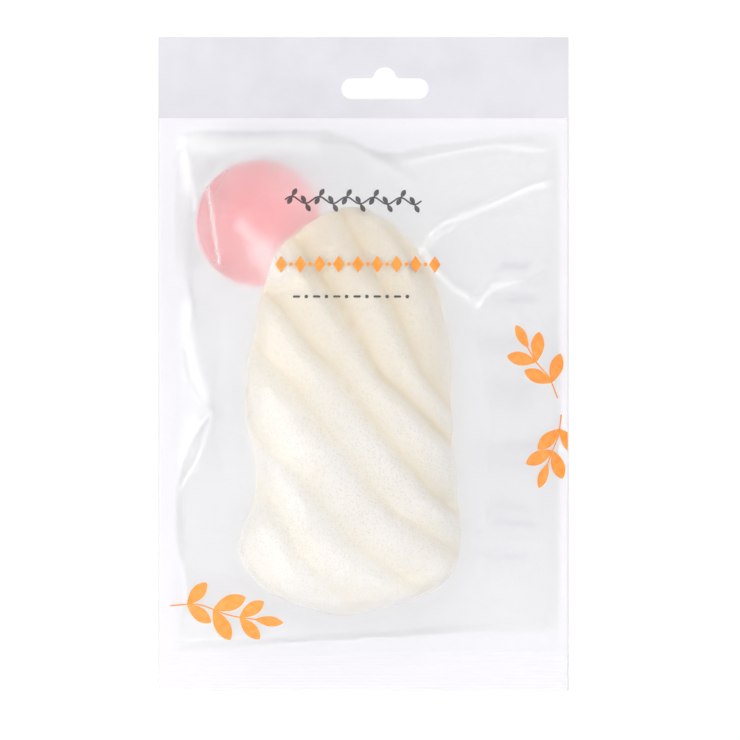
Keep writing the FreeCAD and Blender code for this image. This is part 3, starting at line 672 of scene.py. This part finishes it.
foot_edge = np.interp(plane_x, *np.array(FOOT_EDGE).T)
left_edge = np.where((plane_y > CUP_LOW) & (plane_y < CUP_HIGH), WELD_LEFT, left_edge)
held = (plane_x <= left_edge) | (plane_x >= WELD_RIGHT) | (plane_y <= foot_edge) | (plane_y >= top_edge)
print("held down on", round(100 * held.mean()), "% of the web")

# %% [markdown]
# Now the film finds its shape. Over and over, each place moves to the mean of its four neighbours
# plus a little for the air inside, and never sinks below its floor. There is more air at the left,
# and most of it by the cup. Some thousand rounds are enough for the height to come to rest.
# %% Shape of the film
ROUNDS = 2600
START_HEIGHT = 12.0


def neighbour_mean(field):
    """The mean of the four neighbours of each grid place."""
    return 0.25 * (np.roll(field, 1, 0) + np.roll(field, -1, 0) + np.roll(field, 1, 1) + np.roll(field, -1, 1))


puff = 0.004 + 0.004 * np.clip(-(plane_x + 20) / 40, 0, 1)
puff += 0.10 * np.exp(-(((plane_x + 33) / 18) ** 2) - ((plane_y - 64) / 15) ** 2)
film = np.maximum(floor_height, np.where(held, FILM_REST, START_HEIGHT))
for step in range(ROUNDS):
    film = np.maximum(neighbour_mean(film) + 0.25 * puff * GRID**2, floor_height)
    film[held] = FILM_REST
print("film stands up to", film.max().round(2), "mm and touches on", round(100 * (film <= floor_height).mean()), "%")

# %% [markdown]
# Real film is stiff enough to crease. Each crease is a height, a reach and a line of places, in
# millimetres, and follows a crease line of the photograph. The film is sharp along the line and falls
# away on both sides, and the highest creases catch the light as bright shards.
# %% Creases of the film
CREASES = (
    (1.8, 3, ((-65.5, 82), (-62.5, 72.8), (-59.5, 60.7), (-60.5, 50), (-62, 36))),
    (1.4, 3, ((-62, 36), (-61.5, 16.8), (-64.5, 5.1), (-62.6, -5.9), (-55, -17.9))),
    (1.4, 4, ((-55, -17.9), (-51, 6), (-50.5, 24))),
    (1.6, 3.2, ((-55, -17.9), (-61.1, -27.8), (-65, -35.1), (-66.5, -49.8), (-66, -57.1), (-64.1, -71.7))),
    (1, 4, ((-55, -17.9), (-50, -40), (-53, -62))),
    (1.2, 2.5, ((-20.3, 84.5), (-12.3, 83.8), (-4.9, 80.3), (7.5, 73.3), (22, 64))),
    (0.6, 3.5, ((-62, 82), (-40, 80), (-12.3, 79))),
    (1.7, 3, ((13.4, 74), (28, 76.2), (42.6, 79), (57.3, 80.5), (66, 80.5))),
    (2.8, 3.2, ((70, 68), (60.9, 65.5), (49.9, 60.7), (39, 56.3), (28, 51.6), (23.6, 45.4))),
    (2.2, 3, ((23.6, 45.4), (22.5, 41.7), (28, 32.6), (33.5, 27.1), (42.6, 23.4))),
    (2.2, 2.6, ((42.6, 23.4), (46.3, 28.9), (57.3, 29.6), (69.8, 37.8))),
    (1.2, 3.4, ((30, 60), (45, 72), (62, 76))),
    (1.2, 1.6, ((55.4, 18.8), (58.5, 10.6), (59, 4))),
    (1.2, 1.6, ((61.7, 19.9), (68.2, 8.8))),
    (1.6, 2.4, ((68.2, 8.8), (69.5, -3.2), (70.1, -31.5))),
    (1, 4, ((40, 12), (46, -20), (44, -60))),
    (0.9, 4, ((36, -80), (52, -90), (68, -95))),
    (1, 1.6, ((-56.5, 65.5), (-54.7, 54.5), (-52.1, 36.2))),
    (1.2, 3, ((-60, -92), (-45, -86), (-35, -90))),
    (0.5, 2, ((-66.1, -101), (-45.2, -100.9), (-19.6, -98.7), (13.4, -97.2), (42.6, -95), (68.8, -95))),
)


def away_from(line, x, y):
    """How far each place lies from a line of places."""
    nearest = np.full(x.shape, 1e9)
    for (ax, ay), (bx, by) in zip(line, line[1:]):
        length = math.hypot(bx - ax, by - ay)
        t = np.clip(((x - ax) * (bx - ax) + (y - ay) * (by - ay)) / length**2, 0, 1)
        nearest = np.minimum(nearest, np.hypot(x - ax - t * (bx - ax), y - ay - t * (by - ay)))
    return nearest


def crease_lift(x, y):
    """Height that the creases add at each place."""
    lift = np.zeros_like(x)
    for height, reach, line in CREASES:
        ends = np.minimum(np.hypot(x - line[0][0], y - line[0][1]), np.hypot(x - line[-1][0], y - line[-1][1]))
        lift += height * np.exp(-away_from(line, x, y) / reach) * np.clip(ends / 6 + 0.25, 0, 1)
    return lift


print(len(CREASES), "creases, the highest", max(height for height, reach, line in CREASES), "mm")

# %% [markdown]
# Between the creases the film is never quite smooth. Four sets of straight folds cross, each with a
# direction, a spacing in millimetres and a start, and a slow warp keeps them from looking ruled.
# They are faint where the film lies on the sponge, because it is stretched there.
# %% Crumple of the film
CRUMPLES = ((0.9, 0.4, 21, 0.6), (-0.35, 0.95, 27, 2.2), (0.75, -0.7, 33, 4.4), (0.2, 1, 17, 1.1))


def crumple(x, y):
    """Faint straight folds that cross each other all over the film."""
    total = np.zeros_like(x)
    warp_x = x + 5.0 * np.sin(y / 23.0)
    warp_y = y + 5.0 * np.sin(x / 19.0 + 1.0)
    for a, b, wave, phase in CRUMPLES:
        total += 1 - np.abs(np.sin((a * warp_x + b * warp_y) * math.pi / wave + phase))
    return total / len(CRUMPLES)


def read_grid(field, x, y):
    """Reads a grid field between its places."""
    fx = np.clip((x - LEFT) / GRID, 0, len(grid_x) - 1.001)
    fy = np.clip((y - BOTTOM) / GRID, 0, len(grid_y) - 1.001)
    i, j = fx.astype(int), fy.astype(int)
    a, b = fx - i, fy - j
    low = field[i, j] * (1 - a) + field[i + 1, j] * a
    high = field[i, j + 1] * (1 - a) + field[i + 1, j + 1] * a
    return low * (1 - b) + high * b


print(len(CRUMPLES), "sets of folds")

# %% [markdown]
# Where polyethylene film is bent sharply, it turns white. Each mark is a strength, a width in
# millimetres and a line. Narrow ones follow sharp folds and add a painted highlight to that
# whitening, and wide ones are a painted sheen on bulges and slopes. The seals are milky, and so in
# part are the strips where the webs cling.
# %% White folds and painted sheen of the film
WHITE_FOLDS_AND_SHEENS = (
    (0.55, 0.55, ((-65.5, 82), (-64.5, 72.8), (-61.5, 60.7), (-61, 56))),
    (0.50, 0.55, ((-65, 12), (-64.5, 5.1), (-62.6, -5.9), (-55.5, -17.9))),
    (0.55, 0.55, ((-55.5, -17.9), (-61.1, -22.8), (-65, -31.1), (-66.5, -35.8))),
    (0.45, 0.55, ((-55.5, -19), (-58.5, -30), (-62, -38), (-67, -45.5))),
    (0.35, 0.55, ((-56.5, 65.5), (-54.7, 54.5), (-52.1, 36.2))),
    (0.35, 0.55, ((-12.3, 83.8), (-4.9, 80.3), (4.5, 73.3))),
    (0.40, 0.55, ((4, 70.3), (28, 76.2), (42.6, 79), (50.3, 80.5), (56, 78.5), (66, 78))),
    (0.60, 0.55, ((69, 66), (60.9, 64), (49.9, 59), (39, 54.3), (29, 50.6), (24, 46.4), (20.5, 40))),
    (0.45, 0.55, ((33.5, 49.9), (25.6, 45.4), (22.5, 40.4))),
    (0.40, 0.55, ((22.5, 38.4), (28, 31), (38.5, 23.1), (41.6, 20.4))),
    (0.60, 0.55, ((41.6, 20.4), (43.2, 24), (48.3, 27.9), (55.3, 29.6))),
    (0.20, 0.55, ((-66.1, -101), (-45.2, -99.9), (-24.6, -97.7), (-4, -96.9))),
    (0.40, 2.2, ((-65.8, 83), (-65, 74), (-63.5, 64))),
    (0.45, 2.2, ((-65, 20), (-64, 8), (-62, -2), (-58, -12))),
    (0.25, 2.4, ((-62.5, -21), (-65.5, -32))),
    (0.55, 4, ((-62, 81), (-45, 80), (-20, 81))),
    (0.18, 2.6, ((-43.5, 49.5), (-39.5, 44.5))),
    (0.26, 5, ((-36.5, 40.5), (-31, 33))),
    (0.35, 1.6, ((47.5, 28), (53, 30.5))),
)
CLING_HAZE = 0.5


def white_folds_and_sheen(x, y):
    """How white bending makes the film along its folds, with painted highlights and sheen."""
    whiteness_and_sheen = np.zeros_like(x)
    for strength, width, line in WHITE_FOLDS_AND_SHEENS:
        whiteness_and_sheen = np.maximum(whiteness_and_sheen, strength * np.exp(-((away_from(line, x, y) / width) ** 2)))
    return whiteness_and_sheen


def from_seals(x, y):
    """How far each place lies inside the seals."""
    return np.minimum(np.minimum(x - WELD_LEFT, WELD_RIGHT - x), np.minimum(y - SEAL_TOP, MOUTH - y))


def weld_haze(x, y):
    """1 on the seals, less where the webs cling beside them, and 0 on the open film."""
    cling = np.minimum(x - np.interp(y, *np.array(LEFT_EDGE).T), y - np.interp(x, *np.array(FOOT_EDGE).T))
    cling = np.minimum(cling, np.interp(x, *np.array(TOP_EDGE).T) - y)
    return np.maximum(np.clip(0.5 - from_seals(x, y) / 0.8, 0, 1), CLING_HAZE * np.clip(0.5 - cling / 1.2, 0, 1))


print(len(WHITE_FOLDS_AND_SHEENS), "white marks")

# %% [markdown]
# Both webs start as a flat grid, with close rows over the bottom seal, where the jaws of the
# sealing machine pressed fine ribs, and wider ones above. Each web gets its real wall last, from a
# Solidify modifier, so that light bends as it enters and as it leaves.
# %% Flat web and its wall
COLUMNS = 172
seal_rows = np.arange(BOTTOM, SEAL_TOP, 0.3)
body_rows = np.linspace(SEAL_TOP, TOP + 1.2, 232)
row_places = np.concatenate([seal_rows, body_rows])


def film_grid(name):
    """A flat grid with the rows at their places."""
    deselect()
    bpy.ops.mesh.primitive_grid_add(x_subdivisions=COLUMNS - 1, y_subdivisions=len(row_places) - 1, size=2)
    piece = bpy.context.object
    piece.name = name
    rows = points_of(piece)
    index = np.rint((rows[:, 1] + 1) / 2 * (len(row_places) - 1)).astype(int)
    rows[:, 0] *= RIGHT
    rows[:, 1] = row_places[index]
    return piece, rows


def thicken(web, wall, offset):
    """Gives a web its wall, in millimetres, and smooth shading."""
    grab(web)
    modifier = web.modifiers.new("wall", "SOLIDIFY")
    modifier.thickness = wall * MM
    modifier.offset = offset
    bpy.ops.object.modifier_apply(modifier="wall")
    bpy.ops.object.shade_smooth()


print(len(row_places), "rows,", len(seal_rows), "of them over the seal")

# %% [markdown]
# The front web is lifted to the height found above, with its creases, its crumple and the ribs of
# the seal. Three attributes steer its material. Touch is 1 where the film lies on a high part of
# the sponge and falls off beside it, smoothed so that no line shows where the film turns soft.
# %% Front web
RIB_PITCH, RIB_HEIGHT = 1.2, 0.06
CRUMPLE_HEIGHT = 1.3
TOUCH_REACH, TOUCH_LOW, TOUCH_RISE = 26, 6, 12
front, rows = film_grid("front_web")
x, y = rows[:, 0], rows[:, 1]
inside = np.clip(from_seals(x, y) / 5, 0, 1)
free = np.clip(read_grid(film - floor_height, x, y) / 5, 0.12, 1)
z = read_grid(film, x, y) + (crease_lift(x, y) + CRUMPLE_HEIGHT * crumple(x, y) * free) * inside
ribs = RIB_HEIGHT * np.cos(y * 2 * math.pi / RIB_PITCH) * np.clip((SEAL_TOP - y) / 0.5, 0, 1)
rows[:, 2] = z + ribs + 0.05
move_points(front, rows * MM)
mark_points(front, "haze", weld_haze(x, y))
# Fold carries the white folds and the painted highlights and sheen.
mark_points(front, "fold_white_and_sheen", white_folds_and_sheen(x, y))
touch = 1 - np.clip((film - floor_height) / TOUCH_REACH, 0, 1)
touch *= np.clip((floor_height - TOUCH_LOW) / TOUCH_RISE, 0, 1)
for step in range(6):
    touch = neighbour_mean(touch)
mark_points(front, "touch", read_grid(touch, x, y))
front_tree = tree_of(front)
thicken(front, 0.12, -1)
dress(front, front_film)
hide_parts("front_film")
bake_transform(front)
print("front web", len(front.data.vertices), "points")

# %% [markdown]
# The back web lies flat on the table, because nothing pulls it up. Real film still waves a little,
# here by a twentieth of a millimetre. It has the front's welds and no folds.
# %% Back web
back, rows = film_grid("back_web")
x, y = rows[:, 0], rows[:, 1]
rows[:, 2] = 0.07 + 0.05 * np.clip(lumps(x, y, x * 0, 31.0), -1, 1)
move_points(back, rows * MM)
back_tree = tree_of(back)
mark_points(back, "haze", weld_haze(x, y))
mark_points(back, "fold_white_and_sheen", x * 0)
mark_points(back, "touch", x * 0)
thicken(back, 0.1, 0)
dress(back, back_film)
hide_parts("back_film")
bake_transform(back)
print("back web", len(back.data.vertices), "points")

# %% [markdown]
# The print on the pack is generic: a wave of leaves, a row of lozenges, a row of dots and bars, and
# twigs. Curves could draw each mark, but a small grid lies better on bumpy film, because its points
# follow every bump. How its width changes along it makes it a leaf, a lozenge, a dot or a bar.
# %% Shapes of the marks
WIDTHS = {
    "leaf": lambda t: np.sin(math.pi * t) ** 0.75 * (0.78 + 0.44 * t),
    "lozenge": lambda t: 1 - np.abs(2 * t - 1),
    "dot": lambda t: np.sqrt(np.clip(1 - (2 * t - 1) ** 2, 0, 1)),
    "bar": lambda t: np.clip(np.minimum(t, 1 - t) * 12, 0.3, 1),
}


def template(shape):
    """One mark of unit size, which runs along X from the origin."""
    deselect()
    bpy.ops.mesh.primitive_grid_add(x_subdivisions=20, y_subdivisions=6, size=1, location=(0.5, 0, 0))
    piece = bpy.context.object
    settle(piece)
    rows = points_of(piece)
    rows[:, 1] *= WIDTHS[shape](np.clip(rows[:, 0], 0, 1))
    move_points(piece, rows)
    return piece


templates = {shape: template(shape) for shape in WIDTHS}


def stamp(shape, x, y, degrees, length, width):
    """A copy of a mark with its own mesh, at its place in millimetres."""
    piece = templates[shape].copy()
    piece.data = templates[shape].data.copy()
    bpy.context.scene.collection.objects.link(piece)
    piece.location = (x * MM, y * MM, 0)
    piece.rotation_euler = (0, 0, math.radians(degrees))
    piece.scale = (length * MM, width * MM, 1)
    settle(piece)
    return piece


print("marks:", ", ".join(WIDTHS))

# %% [markdown]
# A stem is a thin stroke along a line of a few places, rounded by taking its mean a little before
# and behind each place. The stroke is again a grid, whose long way follows the line.
# %% Stems


def on_line(line, t):
    """A place and a direction in degrees, part of the way along a rounded line."""
    places = np.array(line)
    reached = np.concatenate([[0], np.cumsum(np.hypot(*np.diff(places, axis=0).T))])
    reached /= reached[-1]
    spread = np.linspace(-0.09, 0.09, 7)
    spots = []
    for s in (t, t + 0.02):
        near = np.clip(s + spread, 0, 1)
        spots.append([float(np.mean(np.interp(near, reached, places[:, k]))) for k in (0, 1)])
    (x, y), (next_x, next_y) = spots
    return x, y, math.degrees(math.atan2(next_y - y, next_x - x))


def stem(line, width, cells=48):
    """A thin stroke along a rounded line, in millimetres."""
    deselect()
    bpy.ops.mesh.primitive_grid_add(x_subdivisions=cells, y_subdivisions=2, size=2)
    piece = bpy.context.object
    rows = points_of(piece)
    for row in rows:
        x, y, degrees = on_line(line, (row[0] + 1) / 2)
        side = math.radians(degrees + 90)
        half = row[1] * width / 2
        row[:] = (x + half * math.cos(side), y + half * math.sin(side), 0)
    move_points(piece, rows * MM)
    return piece


print("the middle of a bent line:", on_line(((0, 0), (10, 0), (20, 8)), 0.5))

# %% [markdown]
# The marks of one row are joined into one piece. Each point drops onto the film and is lifted a
# little, so that the ink stays clear of the film's facets. Ink near the edge is trimmed, as on a
# pack that is cut through its print. It rides the pouch with the film.
# %% Laying print on film
INK_LIFT = 0.16
INK_EDGE = 0.3


def print_on(tree, name, marks, ink):
    """Joins marks into one piece, lays it on a web of film and inks it."""
    deselect()
    for piece in marks:
        piece.select_set(True)
    bpy.context.view_layer.objects.active = marks[0]
    bpy.ops.object.join()
    piece = bpy.context.object
    piece.name = name
    rows = points_of(piece)
    rows[:, 0] = np.clip(rows[:, 0], (LEFT + INK_EDGE) * MM, (RIGHT - INK_EDGE) * MM)
    rows[:, 2] = [(top_at(tree, x / MM, y / MM) + INK_LIFT) * MM for x, y, z in rows]
    move_points(piece, rows)
    settle(piece)
    bpy.ops.object.shade_smooth()
    dress(piece, ink)
    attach(piece, "pouch")
    print(name, len(marks), "marks,", len(piece.data.vertices), "points")


# %% [markdown]
# Three rows run across the upper half of the pack: a wave of short bars with leaves at its crests
# and hollows, a chain of lozenges and dots, and a finer chain of bars and dots.
# %% Printed rows
wave = [(-28.0 + 49 * k / 40, 58.9 + 1.3 * math.sin(k * math.pi / 4)) for k in range(41)]
row_one = []
for k, ((x, y), (next_x, next_y)) in enumerate(zip(wave, wave[1:])):
    degrees = math.degrees(math.atan2(next_y - y, next_x - x))
    row_one.append(stamp("bar", x - 0.15, y, degrees, math.dist(wave[k], wave[k + 1]) + 0.3, 0.6))
    if k % 4 == 2:
        up = 1 if math.sin(k * math.pi / 4) > 0 else -1
        row_one.append(stamp("leaf", x, y, up * 62, 3.3, 1.7))
        row_one.append(stamp("leaf", x, y, -up * 118, 3.3, 1.7))
print_on(front_tree, "grey_wave_row", row_one, grey_ink)

row_two = []
for k in range(9):
    x = -31.6 + k * 6.9
    row_two.append(stamp("lozenge", x, 35.7, 0, 4.2, 6.2))
    if k < 8:
        row_two.append(stamp("dot", x + 4.9, 35.7, 0, 1.4, 1.4))
print_on(front_tree, "orange_lozenge_row", row_two, orange_ink)

row_three = []
for k in range(12):
    x = -24.7 + k * 3.62
    row_three.append(stamp("dot", x, 24.1, 0, 1.3, 1.3) if k % 2 else stamp("bar", x - 0.6, 24.1, 0, 2.7, 0.8))
print_on(front_tree, "grey_dot_row", row_three, grey_ink)

# %% [markdown]
# A twig is a stem with leaves in pairs, longest half way up, and one more leaf at the tip. One twig
# stands at the left foot, and two at the right edge.
# %% Twigs


def twig(line, pairs, leaf, spread=42):
    """A stem with pairs of leaves and one leaf at its tip."""
    marks = [stem(line, 0.5)]
    for pair in range(pairs):
        t = (pair + 0.7) / (pairs + 0.4)
        x, y, degrees = on_line(line, t)
        length = leaf * (0.62 + 0.38 * math.sin(math.pi * t))
        for side in (-1, 1):
            marks.append(stamp("leaf", x, y, degrees + side * spread, length, length * 0.44))
    x, y, degrees = on_line(line, 0.97)
    marks.append(stamp("leaf", x, y, degrees, leaf * 0.8, leaf * 0.3))
    return marks


left_twig = twig(((-71.5, -88.5), (-60.0, -87.4), (-48.0, -91.8), (-38.0, -93.0)), 3, 13.0)
upper_twig = twig(((71.2, -13.0), (68.0, -5.0), (62.5, 1.0), (59.5, 6.5)), 2, 12.0)
lower_twig = twig(((72.4, -18.0), (71.5, -26.0), (68.5, -33.0), (67.0, -37.0)), 2, 12.0)
print_on(front_tree, "orange_twigs", left_twig + upper_twig + lower_twig, orange_ink)

# %% [markdown]
# The back of the pouch has print too. Through two webs it only shows as blue-grey smears, so
# plain bars on the back web are enough. Each row is a start in X and Y and a length.
# %% Faint rows on the back
BACK_LINES = (
    (50, 36, 14), (48, 24, 16), (44, 8, 20), (43, -8, 20), (46, -14, 16),
    (42, -30, 20), (44, -36, 20), (45, -52, 16), (47, -58, 16), (44, -70, 16),
)
BAR_STEP = 4
back_rows = []
for x, y, length in BACK_LINES:
    for step in range(length // BAR_STEP):
        back_rows.append(stamp("bar", x + BAR_STEP * step, y - 0.7 * (step % 2), 0, 3.2, 1.3))
print_on(back_tree, "faint_back_rows", back_rows, faint_ink)
for piece in templates.values():
    bpy.data.objects.remove(piece)

# %% [markdown]
# The floor is a plain white table. White paint alone would look grey under lamps this weak. So for
# the camera, for reflections and through the film it is three quarters plain white, and the last
# quarter is real paint, which keeps the pack's faint shadow.
# %% Floor
WHITE_SHARE = 0.75
floor_white, tree, out = new_material("white_table")
path = add(tree, "ShaderNodeLightPath")
rays = [path.outputs[name] for name in ("Is Camera Ray", "Is Glossy Ray", "Is Transmission Ray")]
seen = add(tree, "ShaderNodeMath", {0: rays[0], 1: rays[1]}, operation="MAXIMUM")
seen = add(tree, "ShaderNodeMath", {0: seen.outputs["Value"], 1: rays[2]}, operation="MAXIMUM")
part = add(tree, "ShaderNodeMath", {0: seen.outputs["Value"], 1: WHITE_SHARE}, operation="MULTIPLY")
paint = add(tree, "ShaderNodeBsdfDiffuse", {"Color": linear("#FBFBFB")})
glow = add(tree, "ShaderNodeEmission", {"Color": linear("#FFFFFF"), "Strength": 1.0})
shares = {0: part.outputs["Value"], 1: paint.outputs["BSDF"], 2: glow.outputs["Emission"]}
mixed = add(tree, "ShaderNodeMixShader", shares)
tree.links.new(mixed.outputs["Shader"], out.inputs["Surface"])
deselect()
bpy.ops.mesh.primitive_plane_add(size=6, location=(0, 0, -0.0003))
floor = bpy.context.object
floor.name = "table"
dress(floor, floor_white)
print("floor", floor.name)

# %% [markdown]
# Light comes from a white room. A large soft window at the left gives the ridges their shaded side
# and the creases their glints. Two weaker boxes at the right keep the far side from going grey.
# %% Light
ROOM_LEVEL = 0.885
world = bpy.data.worlds.new("white_room")
bpy.context.scene.world = world
world.use_nodes = True
world.node_tree.nodes["Background"].inputs["Color"].default_value = linear("#FFFFFF")
world.node_tree.nodes["Background"].inputs["Strength"].default_value = ROOM_LEVEL


def soft_box(name, place, size_x, size_y, power):
    """A soft box that faces the pack."""
    data = bpy.data.lights.new(name, "AREA")
    data.shape = "RECTANGLE"
    data.size, data.size_y, data.energy = size_x, size_y, power
    lamp = bpy.data.objects.new(name, data)
    bpy.context.scene.collection.objects.link(lamp)
    lamp.location = place
    lamp.rotation_euler = (-Vector(place)).to_track_quat("-Z", "Y").to_euler()


soft_box("window", (-0.70, -0.40, 1.00), 1.4, 1.0, 8.5)
soft_box("fill", (0.45, 0.90, 0.65), 1.2, 0.6, 1.5)
soft_box("sill", (0.60, -0.80, 0.55), 1.2, 0.5, 1.7)
print("room level", ROOM_LEVEL)

# %% [markdown]
# Colours are shown as they are written, so the view transform is the plain one.
# %% View transform
bpy.context.scene.view_settings.view_transform = "Standard"
